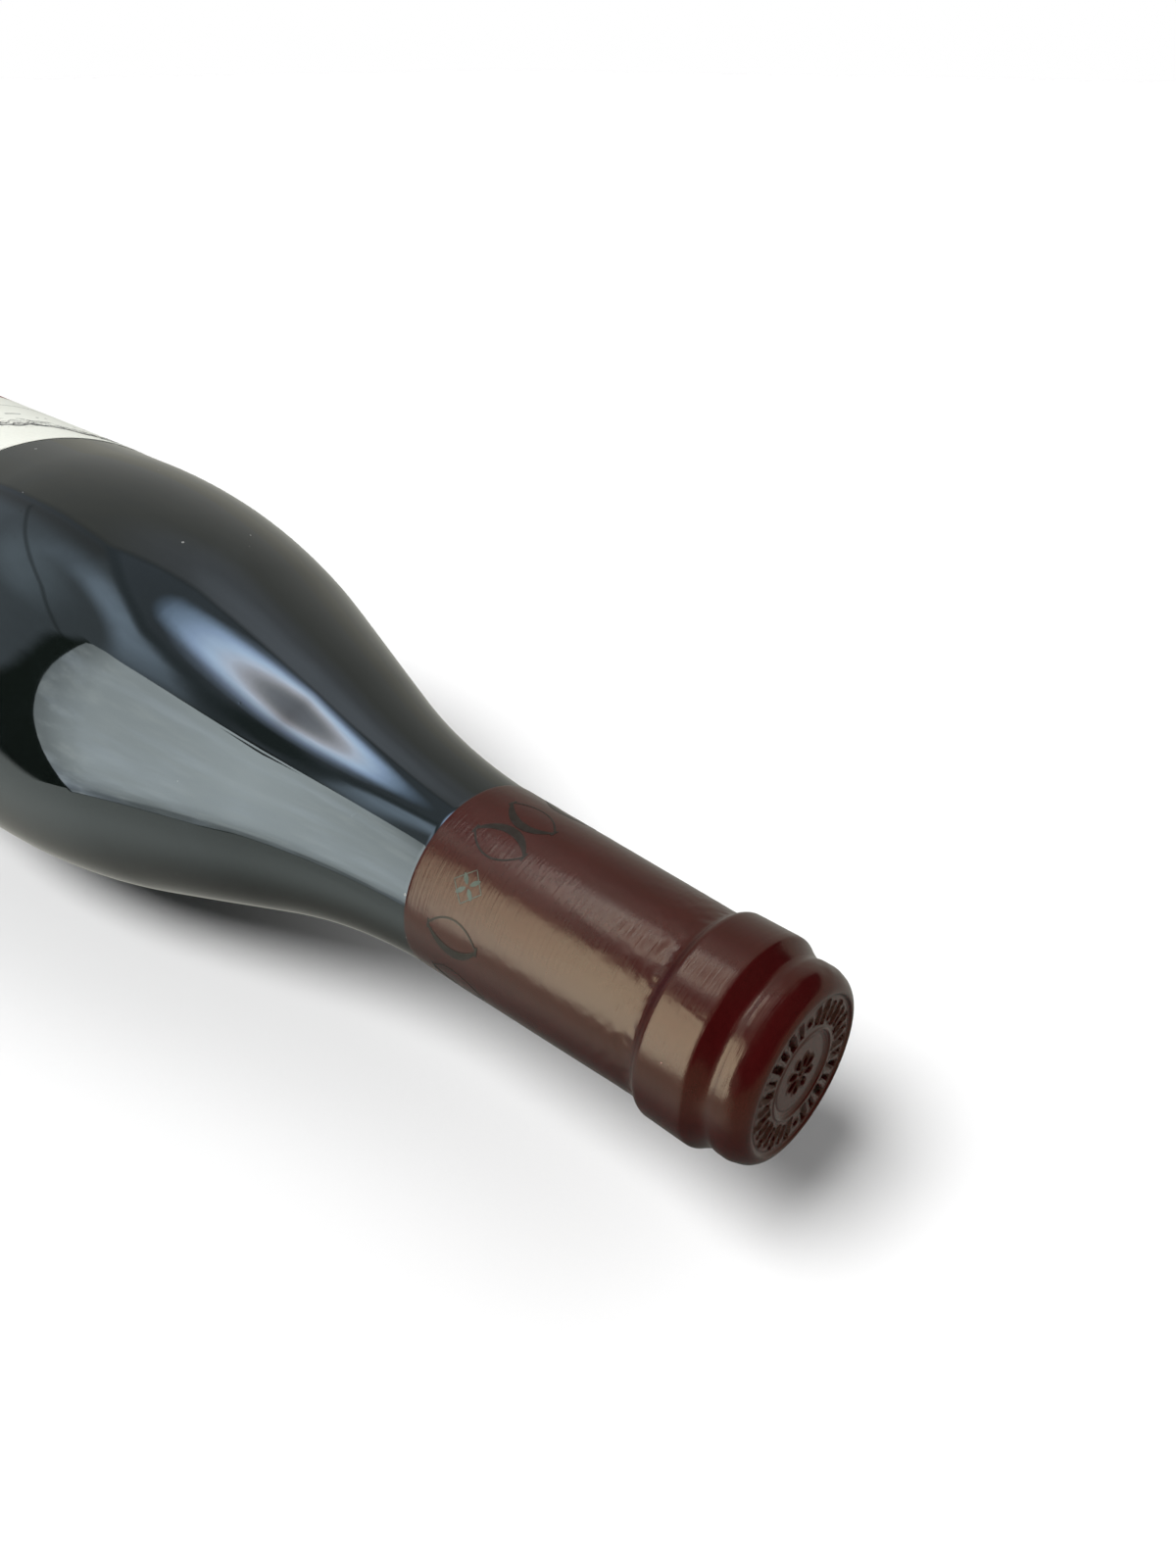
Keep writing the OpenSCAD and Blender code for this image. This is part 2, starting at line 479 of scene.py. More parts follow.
def capsule_disc(RR, PH):
    """Relief of the end disc, in mm outwards from the end plane."""
    h = np.full_like(RR, -0.26)
    h += 0.26 * bump01(RR, 10.95, 11.25)                  # folded rim
    h -= 0.08 * np.exp(-((RR - 10.75) / 0.16) ** 2)
    # sunk middle field with a double-edged pressed ring
    h -= 0.26 * (1 - bump01(RR, 5.75, 6.0))
    h += 0.12 * np.exp(-((RR - 6.35) / 0.15) ** 2)
    h -= 0.16 * np.exp(-((RR - 6.02) / 0.10) ** 2)
    h -= 0.09 * np.exp(-((RR - 5.40) / 0.12) ** 2)
    # ring of pressed flutes, wide and narrow in turn, with two dots
    n = 30
    for i in range(n):
        c = 2 * math.pi * i / n
        d = (PH - c + math.pi) % (2 * math.pi) - math.pi
        y = RR - 8.75
        x = d * RR                                        # along the ring
        if i % 15 == 0:
            q = np.hypot(x, y)
            h -= 0.60 * (1 - bump01(q, 0.46, 0.60))
            h += 0.10 * np.exp(-((q - 0.72) / 0.10) ** 2)
            continue
        half = (1.72, 1.35)[i % 2]
        wid = (0.58, 0.40)[i % 2] * np.sqrt(np.clip(1 - 0.62 * (y / half) ** 2, 0.05, 1))
        m = (1 - bump01(np.abs(x) - wid, -0.04, 0.08)) * (1 - bump01(np.abs(y), half - 0.10, half + 0.04))
        h -= 0.64 * m
        m3 = np.exp(-((np.abs(x) - wid - 0.15) / 0.08) ** 2) * (1 - bump01(np.abs(y), half, half + 0.2))
        h += 0.13 * m3
    # rosette: eight petals round a hub
    for i in range(8):
        c = 2 * math.pi * (i + 0.5) / 8
        px = RR * np.cos(PH - c) - 2.0
        py = RR * np.sin(PH - c)
        e = (px / 0.98) ** 2 + (py / (0.56 + 0.14 * px)) ** 2
        h -= 0.40 * (1 - bump01(e, 0.70, 1.02))
        h += 0.12 * np.exp(-((np.sqrt(e) - 1.20) / 0.12) ** 2)
        # a small bead in each petal
        h += 0.24 * (1 - bump01(np.hypot(px - 0.15, py), 0.12, 0.30))
    h -= 0.30 * (1 - bump01(RR, 0.38, 0.55))
    return np.clip(h, -0.93, 0.0)


N_DISC = 120


def capsule_rows():
    rows = []
    for r in np.linspace(0.12, 11.28, N_DISC):
        rows.append((0.10, r))
    m = mouth(0, 3)
    rows += m[1:]
    for s in np.linspace(18.8, 27, 22):
        rows.append((s, neck(s) + SKIN))
    for s in np.linspace(27.6, 57.4, 40):
        rows.append((s, neck(min(s, 57.5)) + SKIN))
    e = neck(57.5) + SKIN
    rows += [(57.8, e), (57.93, e - 0.02), (57.98, e - 0.06), (57.93, e - 0.11), (57.7, e - WALL)]
    for s in np.linspace(55, 19, 8):
        rows.append((s, neck(s) + SKIN - WALL))
    for s, r in reversed(mouth(WALL, 1)[1:-1]):
        rows.append((s + 0.25, r - 0.02))
    rows += [(0.98, 10.6), (1.0, 8.0), (1.0, 3.0)]
    return rows


def capsule_disp(S, RR, PH):
    S2, R2 = S.copy(), RR.copy()
    S2[:N_DISC] = -capsule_disc(RR[:N_DISC], PH[:N_DISC])
    n_out = N_DISC + len(mouth(0, 3)) - 1 + 22 + 40
    o = slice(N_DISC, n_out)
    So, Po = S[o], PH[o]
    # foil pulled over the glass: broad unevenness, finer crinkles by the collar
    near = np.exp(-((So - 19.5) / 4.0) ** 2)
    far = bump01(So, 18, 22)
    d = 0.012 * noise_field(So, Po, 14, (0.05, 0.35), (1, 7), 3) * far
    d += 0.016 * noise_field(So, Po, 40, (1.2, 3.4), (8, 46), 5) * near
    d += 0.006 * noise_field(So, Po, 30, (0.5, 1.6), (10, 60), 9) * far
    # lip and groove: soft dents left by the rollers
    lip = np.exp(-((So - 2.4) / 1.6) ** 2)
    d += 0.045 * noise_field(So, Po, 12, (0.3, 1.1), (3, 12), 13) * lip
    d += 0.018 * noise_field(So, Po, 26, (0.8, 2.4), (9, 34), 31) * lip
    grv = np.exp(-((So - 6.0) / 1.4) ** 2)
    d += 0.05 * noise_field(So, Po, 14, (0.3, 1.1), (3, 14), 17) * grv
    # axial crease across the collar
    for c, a, w in ((-43.2, 0.05, 0.14), (118.0, 0.04, 0.2), (-150.0, 0.03, 0.25)):
        dd = ((Po - math.radians(c) - 0.012 * (So - 10)) + math.pi) % (2 * math.pi) - math.pi
        d += a * np.exp(-((dd * 15) / w) ** 2) * bump01(So, 6.6, 7.6) * (1 - bump01(So, 11.8, 13.0))
    # small puckers where the foil turns under the collar
    puck = np.exp(-((So - 17.0) / 0.8) ** 2)
    d += 0.03 * noise_field(So, Po, 18, (0.2, 1.0), (18, 60), 23) * puck
    R2[o] = RR[o] + d
    # lower edge not cut quite square
    edge = bump01(S, 56.0, 57.6)
    S2 = S2 + edge * 0.06 * np.sin(PH * 2 + 0.8) * (np.arange(len(S))[:, None] >= N_DISC)
    return np.maximum(S2, 0.002), R2


V, F = lathe_grid(capsule_rows(), SEG, capsule_disp)
capsule = add("capsule_foil", V, F, [FOIL])
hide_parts("capsule")


# ---------------------------------------------------------------- print on curved faces
def surf(s, phi, off, rad):
    r = rad(s) + off
    return ((X_END - s) * MM, r * math.sin(phi) * MM, (AXIS_Z + r * math.cos(phi)) * MM)


class Print:
    """Thin raised ink, built as ribbons along centre lines drawn in [s, arc] mm."""

    def __init__(self, rad, off, thick):
        self.rad, self.off, self.th = rad, off, thick
        self.V, self.F = [], []

    def ribbon(self, pts, widths, phi0=0.0, r_ref=None, closed=False, step=0.5):
        # resample
        P = [(float(a), float(b), float(w)) for (a, b), w in zip(pts, widths)]
        if closed:
            P.append(P[0])
        Q = []
        for (a, b, w), (a2, b2, w2) in zip(P, P[1:]):
            n = max(1, int(math.hypot(a2 - a, b2 - b) / step))
            Q += [(a + (a2 - a) * i / n, b + (b2 - b) * i / n, w + (w2 - w) * i / n) for i in range(n)]
        if not closed:
            Q.append(P[-1])
        N = len(Q)
        base = len(self.V)
        for i, (a, b, w) in enumerate(Q):
            p, q = (Q[(i - 1) % N], Q[(i + 1) % N]) if closed else (Q[max(i - 1, 0)], Q[min(i + 1, N - 1)])
            tx, ty = q[0] - p[0], q[1] - p[1]
            L = math.hypot(tx, ty) or 1.0
            nx, ny = -ty / L, tx / L
            for k in (-1, 1):
                s, u = a + k * nx * w / 2, b + k * ny * w / 2
                ph = phi0 + u / (r_ref or self.rad(s))
                self.V.append(surf(s, ph, self.off + self.th, self.rad))
            for k in (-1, 1):
                s, u = a + k * nx * w / 2, b + k * ny * w / 2
                ph = phi0 + u / (r_ref or self.rad(s))
                self.V.append(surf(s, ph, self.off, self.rad))
        rngi = range(N if closed else N - 1)
        for i in rngi:
            a, b = base + 4 * i, base + 4 * ((i + 1) % N)
            self.F += [(a, a + 1, b + 1, b), (a + 2, b + 2, b + 3, a + 3),
                       (a, b, b + 2, a + 2), (a + 1, a + 3, b + 3, b + 1)]
        if not closed:
            a, b = base, base + 4 * (N - 1)
            self.F += [(a, a + 2, a + 3, a + 1), (b, b + 1, b + 3, b + 2)]

    def make(self, name, mat):
        o = add(name, self.V, self.F, [mat])
        o.data.polygons.foreach_set("use_smooth", [False] * len(o.data.polygons))
        return o


def cap_r(s):
    return neck(min(s, 57.5)) + SKIN


ink = Print(cap_r, 0.012, 0.014)
green = Print(cap_r, 0.012, 0.014)


def leaf(phi_deg, s_mid=48.3, tall=9.4, wide=5.2, lean=0.0, flip=1):
    """Pointed oval outline, one side thick and the other hairline."""
    n = 26
    left, right, wl, wr = [], [], [], []
    for i in range(n + 1):
        t = -1 + 2 * i / n
        half = wide / 2 * (1 - t * t) ** 0.9
        s = s_mid + tall / 2 * t
        left.append((s, -half * flip + lean * t))
        right.append((s, half * flip + lean * t))
        wl.append(0.30 + 1.15 * (1 - t * t))
        wr.append(0.30)
    ink.ribbon(left, wl, math.radians(phi_deg), 14.9)
    ink.ribbon(right, wr, math.radians(phi_deg), 14.9)
    for e in (-1, 1):
        ink.ribbon([(s_mid + e * tall / 2, -0.75 + lean * e), (s_mid + e * tall / 2, 0.75 + lean * e)],
                   [0.34, 0.34], math.radians(phi_deg), 14.9)


def floret(phi_deg, s_mid=48.3, rad=2.1):
    for i in range(4):
        a = math.pi / 4 + i * math.pi / 2
        ca, sa = math.cos(a), math.sin(a)
        pts = [(s_mid + ca * rr, sa * rr) for rr in np.linspace(0.35, rad, 8)]
        w = [0.20 + 0.55 * math.sin(math.pi * k / 7) for k in range(8)]
        green.ribbon(pts, w, math.radians(phi_deg), 14.9)
    pts = [(s_mid + 2.6 * math.cos(a), 2.6 * math.sin(a)) for a in (0, math.pi / 2, math.pi, 1.5 * math.pi)]
    green.ribbon(pts, [0.14] * 4, math.radians(phi_deg), 14.9, closed=True)


for c in range(0, 360, 120):
    floret(-47.6 + c)
    leaf(-77.5 + c, flip=1, lean=0.0)
    leaf(-18.5 + c, flip=-1, lean=0.0)
    leaf(8.0 + c, flip=1, lean=0.6)
ink.make("capsule_print", INK_DARK)
green.make("capsule_print_green", INK_GREEN)

# ---------------------------------------------------------------- label
LAB_S0, LAB_S1, LAB_A = 186.8, 271.8, math.radians(70)
LAB_IN, LAB_T = 0.02, 0.12


def label_mesh():
    ns, na = 72, 120
    ss = np.linspace(LAB_S0, LAB_S1, ns)
    aa = np.linspace(-LAB_A, LAB_A, na)
    V, F = [], []

    def r_top(s, a):
        e = min(s - LAB_S0, LAB_S1 - s, (LAB_A - abs(a)) * R)
        return R + LAB_IN + LAB_T - 0.035 * math.exp(-e / 0.5)
    for lay in (0, 1):
        for s in ss:
            for a in aa:
                r = r_top(s, a) if lay == 0 else R - 0.03
                V.append(((X_END - s) * MM, r * math.sin(a) * MM, (AXIS_Z + r * math.cos(a)) * MM))
    n = ns * na
    for i in range(ns - 1):
        for j in range(na - 1):
            a = i * na + j
            F.append((a, a + na, a + na + 1, a + 1))
            F.append((n + a, n + a + 1, n + a + na + 1, n + a + na))
    for i in range(ns - 1):
        a, b = i * na, (i + 1) * na
        F.append((a, n + a, n + b, b))
        a, b = i * na + na - 1, (i + 1) * na + na - 1
        F.append((a, b, n + b, n + a))
    for j in range(na - 1):
        F.append((j, j + 1, n + j + 1, n + j))
        a = (ns - 1) * na + j
        F.append((a, n + a, n + a + 1, a + 1))
    return V, F


V, F = label_mesh()
label = add("label_paper", V, F, [PAPER])
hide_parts("label")


def lab_r(s):
    return R + LAB_IN + LAB_T


art = Print(lab_r, -0.004, 0.014)
band = Print(lab_r, -0.004, 0.014)
g = random.Random(5)


def hill(u):
    """Ridge line of the plain landscape: s for an arc position u in mm."""
    return 205.5 - 15.0 * math.exp(-((u - 21.0) / 13.5) ** 2) - 1.2 * math.sin(u * 0.42) - 0.5 * math.sin(u * 1.3 + 1)


us = np.arange(-38, 38.01, 0.6)
art.ribbon([(hill(u) , u) for u in us], [0.55 + 0.45 * math.sin(u * 0.9) ** 2 for u in us], 0.0, 41.2, step=1.2)
art.ribbon([(hill(u) + 1.3 + 0.5 * math.sin(u * 0.6), u) for u in us[4:-6]], [0.28 + 0.26 * math.sin(u * 1.7) ** 2 for u in us[4:-6]], 0.0, 41.2, step=1.2)
for _ in range(700):
    u = g.uniform(-36, 36)
    t = g.random() ** 1.6
    s = hill(u) + 0.6 + 6.0 * t
    ln = g.uniform(0.8, 2.8) * (1 - 0.4 * t)
    an = g.gauss(0.0, 0.28)
    art.ribbon([(s, u), (s + math.sin(an) * ln, u + math.cos(an) * ln)], [g.uniform(0.14, 0.36), 0.08], 0.0, 41.2, step=3)
for _ in range(60):
    u = g.uniform(-36, 34)
    s = hill(u) - g.uniform(0.8, 2.6)
    art.ribbon([(s, u), (s + g.uniform(-0.2, 0.2), u + g.uniform(1.0, 3.2))], [0.09, 0.05], 0.0, 41.2, step=3)
for u in np.arange(-34, 34, 5.2):
    s = hill(u) + 12.5 + g.uniform(-0.5, 0.5)
    art.ribbon([(s, u), (s + g.uniform(-0.4, 0.4), u + g.uniform(2.2, 3.6))], [0.75, 0.55], 0.0, 41.2, step=1.5)
for s, half, w in ((224.0, 34, 0.30), (254.0, 26, 0.35), (258.0, 26, 0.2), (261.5, 18, 0.35), (267.0, 34, 0.25)):
    art.ribbon([(s, -half), (s, half)], [w, w], 0.0, 41.2, step=1.0)
band.ribbon([(246.0, -34), (246.0, 34)], [8.0, 8.0], 0.0, 41.2, step=1.0)
for u in (-8, 0, 8):
    art.ribbon([(234.0, u - 1.6), (234.0, u), (234.0, u + 1.6)], [0.05, 1.5, 0.05], 0.0, 41.2, step=0.4)
art.make("label_print", INK_GREY)
band.make("label_band", INK_WINE)

# ---------------------------------------------------------------- floor
me = bpy.data.meshes.new("floor")
me.from_pydata([(-6, -6, 0), (6, -6, 0), (6, 6, 0), (-6, 6, 0)], [], [(0, 1, 2, 3)])
floor = bpy.data.objects.new("floor", me)
scene.collection.objects.link(floor)
fm, ft, fb = material("floor_paper")
ftc = ft.node("ShaderNodeTexCoord").outputs["Object"]
# contact shade close to the bottle
fao = ft.node("ShaderNodeAmbientOcclusion")
fao.inputs["Distance"].default_value = 0.045
fcol = ft.mix(ft.noise(ftc, 6.0, 3.0), (0.80, 0.80, 0.80), (0.82, 0.82, 0.82))
ft.l.new(ft.mix(ft.smoothstep(fao.outputs["AO"], 0.55, 0.96, 0.15, 0.0), fcol, (0.03, 0.03, 0.03)), fb.inputs["Base Color"])
fb.inputs["Roughness"].default_value = 0.9
fb.inputs["IOR"].default_value = 1.1
me.materials.append(fm)
floor.visible_glossy = False

# ---------------------------------------------------------------- light cards (seen only in reflections)
def card(name, corners, radiance, alpha=None):
    me = bpy.data.meshes.new(name)
    me.from_pydata([tuple(c * MM for c in p) for p in corners], [], [tuple(range(len(corners)))])
    o = bpy.data.objects.new(name, me)
    scene.collection.objects.link(o)
    m = bpy.data.materials.new(name)
    m.use_nodes = True
    m.node_tree.nodes.clear()
    t = Tree(m.node_tree)
    out = t.node("ShaderNodeOutputMaterial")
    em = t.node("ShaderNodeEmission")
    if alpha is None:
        t.l.new(em.outputs[0], out.inputs[0])
    else:
        mx = t.node("ShaderNodeMixShader")
        t.l.new(alpha(t), mx.inputs[0])
        t.l.new(t.node("ShaderNodeBsdfTransparent").outputs[0], mx.inputs[1])
        t.l.new(em.outputs[0], mx.inputs[2])
        t.l.new(mx.outputs[0], out.inputs[0])
    if callable(radiance):
        t.put(em.inputs[0], radiance(t))
    else:
        em.inputs[0].default_value = tuple(radiance) + (1,)
    em.inputs[1].default_value = 1.0
    me.materials.append(m)
    o.visible_camera = o.visible_diffuse = o.visible_transmission = o.visible_volume_scatter = o.visible_shadow = False
    return o


AZ, EL, DIST, ROLL = -2.219, 0.081, 251.038, 0.083
U0, U1, V0, V1 = 0.018, 0.741, -0.530, 0.932
nrm = Vector((math.cos(EL) * math.cos(AZ), math.cos(EL) * math.sin(AZ), math.sin(EL)))
org = Vector((60, -15, 50)) + nrm * DIST
ax = Vector((0, 0, 1)).cross(nrm).normalized()
ay = nrm.cross(ax)
ax2 = ax * math.cos(ROLL) + ay * math.sin(ROLL)
ay2 = -ax * math.sin(ROLL) + ay * math.cos(ROLL)


def panel(name, pts, radiance, back=0.0, alpha=None):
    """A flat card given by (u, v) points in the softbox's own plane."""
    cs = [org + nrm * back + DIST * (u * ax2 + v * ay2) for u, v in pts]
    return card(name, cs, radiance, alpha)


def panel_uv(t):
    p = t.node("ShaderNodeNewGeometry").outputs["Position"]
    rel = t.node("ShaderNodeVectorMath", operation="SUBTRACT")
    t.l.new(p, rel.inputs[0])
    rel.inputs[1].default_value = org * MM
    u = t.math("MULTIPLY", t.dot(rel.outputs[0], ax2), 1000 / DIST)
    v = t.math("MULTIPLY", t.dot(rel.outputs[0], ay2), 1000 / DIST)
    return p, u, v


def scaled(t, f, c, k):
    nd = t.node("ShaderNodeMix", data_type="RGBA", blend_type="MULTIPLY")
    nd.clamp_result = False
    nd.inputs[0].default_value = 1.0
    t.put(nd.inputs[6], f)
    t.put(nd.inputs[7], tuple(x * k for x in c))
    return nd.outputs[2]


def soft_rad(t):
    p, u, v = panel_uv(t)
    # dimmer away from the lamp, and towards the lower edge
    across = t.ramp(u, [(0.0, (0.27,) * 3), (0.05, (0.33,) * 3), (0.12, (0.50,) * 3), (0.20, (0.645,) * 3), (0.32, (0.72,) * 3),
                        (0.50, (0.90,) * 3), (0.75, (1.0,) * 3)])
    down = t.ramp(t.math("ADD", v, 0.55), [(0.0, (0.27,) * 3), (0.075, (0.27,) * 3), (0.10, (0.55,) * 3), (0.15, (0.70,) * 3),
                                          (0.25, (0.95,) * 3), (0.40, (1.0,) * 3)])
    c = scaled(t, across, (0.90, 1.035, 1.075), 7.1)
    nd = t.node("ShaderNodeMix", data_type="RGBA", blend_type="MULTIPLY")
    nd.clamp_result = False
    nd.inputs[0].default_value = 1.0
    t.l.new(c, nd.inputs[6])
    t.l.new(down, nd.inputs[7])
    c = nd.outputs[2]
    # creases and mottling of the diffusion cloth
    n1 = t.noise(p, 11.0, 5.0, 0.6)
    n2 = t.noise(p, 45.0, 4.0, 0.6)
    c = t.mix(t.smoothstep(n1, 0.42, 0.75, 0.0, 0.20), c, (2.9, 3.5, 4.4))
    n3 = t.noise(p, 16.0, 5.0, 0.6)
    c = t.mix(t.smoothstep(n3, 0.45, 0.70, 0.0, 0.13), c, (9.0, 10.6, 12.2))
    return t.mix(t.smoothstep(n2, 0.45, 0.8, 0.0, 0.20), c, (7.6, 8.4, 8.2))


def wing_alpha(t):
    p, u, v = panel_uv(t)
    edge = t.ramp(t.math("MULTIPLY", t.math("ADD", v, 0.6), 0.625), [
        (0.0, (0.85,) * 3), (0.10, (0.55,) * 3), (0.20, (0.30,) * 3), (0.38, (0.32,) * 3), (0.45, (0.58,) * 3),
        (0.53, (0.72,) * 3), (0.76, (0.74,) * 3), (0.81, (0.92,) * 3), (0.88, (1.0,) * 3)])
    # edge is kept as 1 + 2.8 u so that it fits a colour ramp
    e = t.math("DIVIDE", t.math("SUBTRACT", edge, 1.0), 2.8)
    n = t.noise(p, 16.0, 4.0, 0.65)
    d = t.math("MULTIPLY_ADD", t.math("SUBTRACT", n, 0.5), 0.07, t.math("SUBTRACT", u, e))
    return t.smoothstep(d, -0.035, 0.05)


panel("softbox", ((U0, V0), (U1, V0), (U1, V1), (0.48, V1), (0.36, 0.888), (0.24, 0.858), (0.10, 0.815), (U0 + 0.02, 0.775), (U0, 0.74)), soft_rad)
panel("softbox_frame", ((U0 - 0.01, V0 - 0.010), (U1 + 0.02, V0 - 0.010), (U1 + 0.02, V1 + 0.07), (0.50, V1 + 0.07), (0.40, 0.93), (0.30, 0.89),
                        (0.2, 0.85), (U0 - 0.01, 0.74)), (0.02, 0.025, 0.03), back=2.0)
panel("softbox_wing", ((U0 - 0.40, V0 + 0.02), (U0 + 0.01, V0 + 0.02), (U0 + 0.01, 0.78), (U0 - 0.40, 0.78)), (0.01, 0.01, 0.01), back=3.0, alpha=wing_alpha)
panel("softbox_slot", ((0.375, 0.842), (0.50, 0.838), (U1, 0.82), (U1, 0.90), (0.50, 0.893), (0.45, 0.876)), (0.22, 0.26, 0.28), back=-1.0)
panel("softbox_slot2", ((0.47, 0.862), (U1, 0.858), (U1, 0.866), (0.50, 0.868)), (3.0, 3.6, 3.8), back=-1.5)


# faceted white ceiling of the light tent, with a ring of bright light above the shoulder
def ceiling_rad(t):
    p = t.node("ShaderNodeNewGeometry").outputs["Position"]
    xyz = t.node("ShaderNodeSeparateXYZ")
    t.l.new(p, xyz.inputs[0])
    x = t.math("MULTIPLY", xyz.outputs[0], 1000.0)
    y = t.math("MULTIPLY", xyz.outputs[1], 1000.0)

    def piece(v, a, b, out):
        nd = t.node("ShaderNodeMapRange")
        t.put(nd.inputs["Value"], v)
        nd.inputs["From Min"].default_value = a
        nd.inputs["From Max"].default_value = b
        nd.inputs["To Min"].default_value = 0.0
        nd.inputs["To Max"].default_value = out
        return nd.outputs["Result"]

    def total(c, *vs):
        r = c
        for v_ in vs:
            r = t.math("ADD", v_, r)
        return r

    def near(cx, cy, inner, outer, sx_=1.0, sy_=1.0):
        a = t.math("MULTIPLY", t.math("SUBTRACT", x, cx), 1 / sx_)
        b = t.math("MULTIPLY", t.math("SUBTRACT", y, cy), 1 / sy_)
        r = t.math("SQRT", t.math("ADD", t.math("MULTIPLY", a, a), t.math("MULTIPLY", b, b)))
        return t.smoothstep(r, inner, outer, 1.0, 0.0)

    def radius(cx, cy, sx_=1.0, sy_=1.0):
        a = t.math("MULTIPLY", t.math("SUBTRACT", x, cx), 1 / sx_)
        b = t.math("MULTIPLY", t.math("SUBTRACT", y, cy), 1 / sy_)
        return t.math("SQRT", t.math("ADD", t.math("MULTIPLY", a, a), t.math("MULTIPLY", b, b)))

    # seams
    y_up = total(10.0, piece(x, -200, -50, 70.0), piece(x, -50, 150, 30.0), piece(x, -800, -200, -60.0))
    y_up = t.math("ADD", y_up, 60.0)
    x_lo = total(-200.0, piece(y, 10, -90, 90.0), piece(y, -90, -160, 50.0), piece(y, -160, -200, 15.0), piece(y, -200, -300, 5.0))
    d_up = t.math("SUBTRACT", y, y_up)
    d_lo = t.math("SUBTRACT", x_lo, x)
    d_l = t.math("MINIMUM", d_lo, t.math("MULTIPLY", d_up, -1.0))
    in_up = t.smoothstep(d_up, -5, 5)
    in_lo = t.smoothstep(d_l, -8, 22)
    # upper facet
    up = t.mix(near(-60, 130, 40, 240), (0.46, 0.465, 0.44), (0.66, 0.71, 0.80))
    up = t.addc(near(-30, 125, 20, 110), up, (0.42, 0.50, 0.60))
    # facet with the lamp
    mid = t.mix(near(0, -225, 30, 75, 0.75, 1.0), (0.42, 0.50, 0.62), (0.09, 0.12, 0.15))
    core = radius(12, -34, 48.5, 84)
    ring = t.ramp(t.math("DIVIDE", core, 2.0), [
        (0.0, (0.13, 0.145, 0.165)), (0.225, (0.157, 0.165, 0.185)), (0.298, (0.19, 0.20, 0.22)), (0.348, (0.26, 0.27, 0.29)),
        (0.428, (0.44, 0.46, 0.52)), (0.50, (0.56, 0.64, 0.77)), (0.59, (0.35, 0.446, 0.564)), (0.688, (0.17, 0.22, 0.32)),
        (0.78, (0.06, 0.08, 0.11)), (0.90, (0, 0, 0))])
    rs = t.node("ShaderNodeMix", data_type="RGBA", blend_type="MULTIPLY")
    rs.clamp_result = False
    rs.inputs[0].default_value = 1.0
    t.l.new(ring, rs.inputs[6])
    rs.inputs[7].default_value = (14.0, 14.0, 14.0, 1)
    flat = radius(18, -30, 92, 89)
    pl = t.math("MULTIPLY", t.smoothstep(flat, 0.80, 1.22, 1.0, 0.0), t.smoothstep(core, 0.9, 1.25))
    away = t.smoothstep(x, -18.0, 30.0, 1.0, 0.10)
    mid = t.addc(pl, mid, t.mix(away, (0.42, 0.36, 0.48), (2.1, 3.15, 4.6)))
    near_w = t.node("ShaderNodeMix", data_type="RGBA", blend_type="MULTIPLY")
    near_w.inputs[0].default_value = 1.0
    t.l.new(rs.outputs[2], near_w.inputs[6])
    near_w.inputs[7].default_value = (1.0, 0.82, 0.76, 1)
    mid = t.addc(away, mid, t.mix(t.smoothstep(x, -12.0, 20.0), rs.outputs[2], near_w.outputs[2]))
    # lower facet: cool glow in an arc beside the seam
    lowf = t.mix(t.smoothstep(d_up, -75, -22), (0.53, 0.63, 0.74), (0.33, 0.35, 0.39))
    lowf = t.addc(near(-310, -175, 20, 150), lowf, (0.42, 0.56, 0.66))
    ra = radius(-240, -240)
    band_ = t.math("MULTIPLY", t.smoothstep(ra, 108, 158), t.smoothstep(ra, 166, 215, 1.0, 0.0))
    side = t.math("MAXIMUM", near(-100, -160, 30, 190), t.math("MULTIPLY", near(-215, -95, 10, 120), 0.22))
    lowf = t.addc(t.math("MULTIPLY", band_, side), lowf, (1.55, 2.1, 2.7))
    # a fold in the cloth
    xf = total(-400.0, piece(y, 0, -110, 80.0), piece(y, -110, -200, 60.0), piece(y, -200, -290, 30.0), piece(y, -290, -420, 40.0))
    fold = t.smoothstep(t.math("ABSOLUTE", t.math("SUBTRACT", x, xf)), 1.5, 12.0, 0.62, 0.0)
    lowf = t.mix(t.math("MULTIPLY", fold, t.smoothstep(d_up, -10, -30)), lowf, (0.16, 0.18, 0.21))
    c = t.mix(in_lo, mid, lowf)
    c = t.mix(in_up, c, up)
    # dark stitched seams
    sm = t.smoothstep(t.math("ABSOLUTE", d_up), 2.0, 16.0, 0.42, 0.0)
    c = t.mix(sm, c, (0.22, 0.23, 0.26))
    sl = t.math("MULTIPLY", t.smoothstep(t.math("ABSOLUTE", t.math("ADD", d_lo, 4.0)), 3.0, 24.0, 0.55, 0.0), t.smoothstep(d_up, 0, -12))
    c = t.mix(sl, c, (0.17, 0.22, 0.28))
    # cloth is never quite even
    n = t.noise(p, 16.0, 4.0, 0.55, 0.5)
    c = t.mix(t.smoothstep(n, 0.35, 0.75, 0.0, 0.16), c, (0.32, 0.35, 0.40))
    return t.mix(t.smoothstep(x, 60.0, 170.0, 0.0, 1.0), c, (0.03, 0.03, 0.03))


card("ceiling", [(-1500, -1100, 370), (1500, -1100, 370), (1500, 1100, 370), (-1500, 1100, 370)], ceiling_rad)

# ---------------------------------------------------------------- world
world = bpy.data.worlds.new("studio")
scene.world = world
world.use_nodes = True
world.node_tree.nodes.clear()
w = Tree(world.node_tree)
wout = w.node("ShaderNodeOutputWorld")
d = w.node("ShaderNodeTexCoord").outputs["Generated"]
sx = w.node("ShaderNodeSeparateXYZ")
w.l.new(d, sx.inputs[0])
dz = sx.outputs[2]


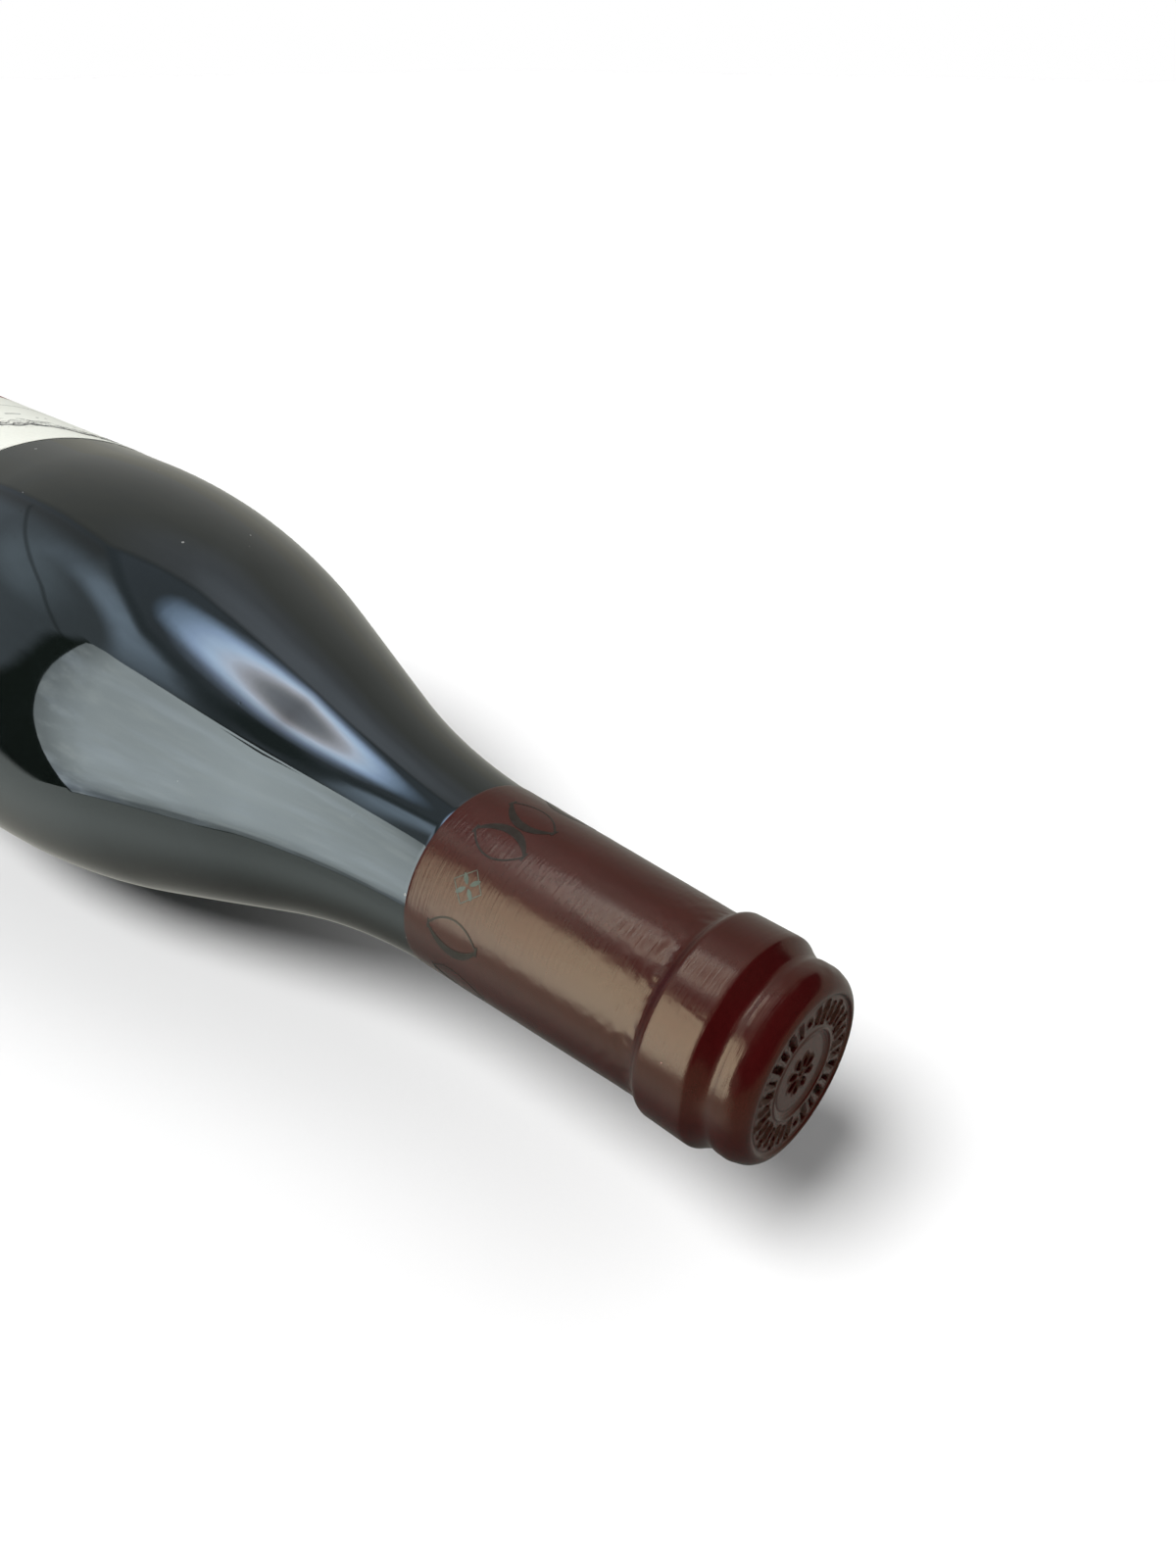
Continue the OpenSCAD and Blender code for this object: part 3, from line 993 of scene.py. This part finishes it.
def angle_to(az, el):
    return w.math("MULTIPLY", w.math("ARCCOSINE", w.math("MINIMUM", w.math("MAXIMUM", w.dot(d, direction(az, el)), -1.0), 1.0)), 180 / math.pi)


def blob(az, el, inner, outer):
    return w.smoothstep(angle_to(az, el), inner, outer, 1.0, 0.0)


# walls, as the glass sees them below the ceiling
top = w.mix(blob(-160, 25, 10, 70), (0.40, 0.44, 0.48), (0.60, 0.68, 0.74))
n1 = direction(173 - 90, 0)
m1 = w.smoothstep(w.dot(d, n1), -0.004, 0.004)
olive = w.mix(w.smoothstep(dz, 0.0, 0.5), (0.45, 0.445, 0.39), (0.47, 0.47, 0.44))
top = w.mix(m1, top, olive)
# dark side where the camera stands
dark = blob(-40, 15, 30, 48)
top = w.mix(dark, top, (0.03, 0.03, 0.03))
# soft fill for the far side
fill = blob(62, 38, 14, 26)
top = w.mix(fill, top, (4.2, 4.0, 3.7))
# lower hemisphere stands for the floor in reflections
low = w.mix(blob(-112, -30, 8, 50), (0.42, 0.42, 0.38), (0.92, 1.02, 1.0))
low = w.mix(w.smoothstep(dz, -0.55, -0.98), low, (0.12, 0.12, 0.11))
env = w.mix(w.smoothstep(dz, -0.01, 0.01), low, top)

lp = w.node("ShaderNodeLightPath")
bg_g = w.node("ShaderNodeBackground")
w.l.new(env, bg_g.inputs[0])
bg_c = w.node("ShaderNodeBackground")
bg_c.inputs[0].default_value = (1, 1, 1, 1)
bg_c.inputs[1].default_value = 1.0
bg_d = w.node("ShaderNodeBackground")
bg_d.inputs[0].default_value = (1, 1, 1, 1)
bg_d.inputs[1].default_value = 0.06
mx1 = w.node("ShaderNodeMixShader")
w.l.new(lp.outputs["Is Glossy Ray"], mx1.inputs[0])
w.l.new(bg_d.outputs[0], mx1.inputs[1])
w.l.new(bg_g.outputs[0], mx1.inputs[2])
mx2 = w.node("ShaderNodeMixShader")
w.l.new(lp.outputs["Is Camera Ray"], mx2.inputs[0])
w.l.new(mx1.outputs[0], mx2.inputs[1])
w.l.new(bg_c.outputs[0], mx2.inputs[2])
w.l.new(mx2.outputs[0], wout.inputs[0])

# ---------------------------------------------------------------- key light
for name, az, el, wide, power in (("key", -96, 59, 26, 3.86), ("key_back", 31, 45.5, 56, 0.88)):
    sun = bpy.data.lights.new(name, "SUN")
    sun.energy = power
    sun.angle = math.radians(wide)
    key = bpy.data.objects.new(name, sun)
    scene.collection.objects.link(key)
    key.rotation_euler = direction(az, el).to_track_quat("Z", "Y").to_euler()
    key.visible_glossy = False

# ---------------------------------------------------------------- camera
cam = bpy.data.cameras.new("camera")
cam.sensor_width = 36.0
cam.sensor_fit = "AUTO"
F_PX = 1159.3
cam.lens = F_PX * 36.0 / 1600.0
cam.shift_x = (600 - 578.3) / 1600.0
cam.shift_y = -(800 - 740.7) / 1600.0
cam.clip_start = 0.01
cam.clip_end = 50
co = bpy.data.objects.new("camera", cam)
scene.collection.objects.link(co)
right = Vector((0.7383934, 0.67437022, 0.0))
up = Vector((-0.34729042, 0.38026139, 0.8571993))
fwd = Vector((-0.57806968, 0.6329503, -0.51498481))
rot = Matrix((right, up, -fwd)).transposed()
co.matrix_world = Matrix.Translation(Vector((192.67069756, -92.5708955, 150.57045268)) * MM) @ rot.to_4x4()
scene.camera = co

bpy.context.view_layer.update()
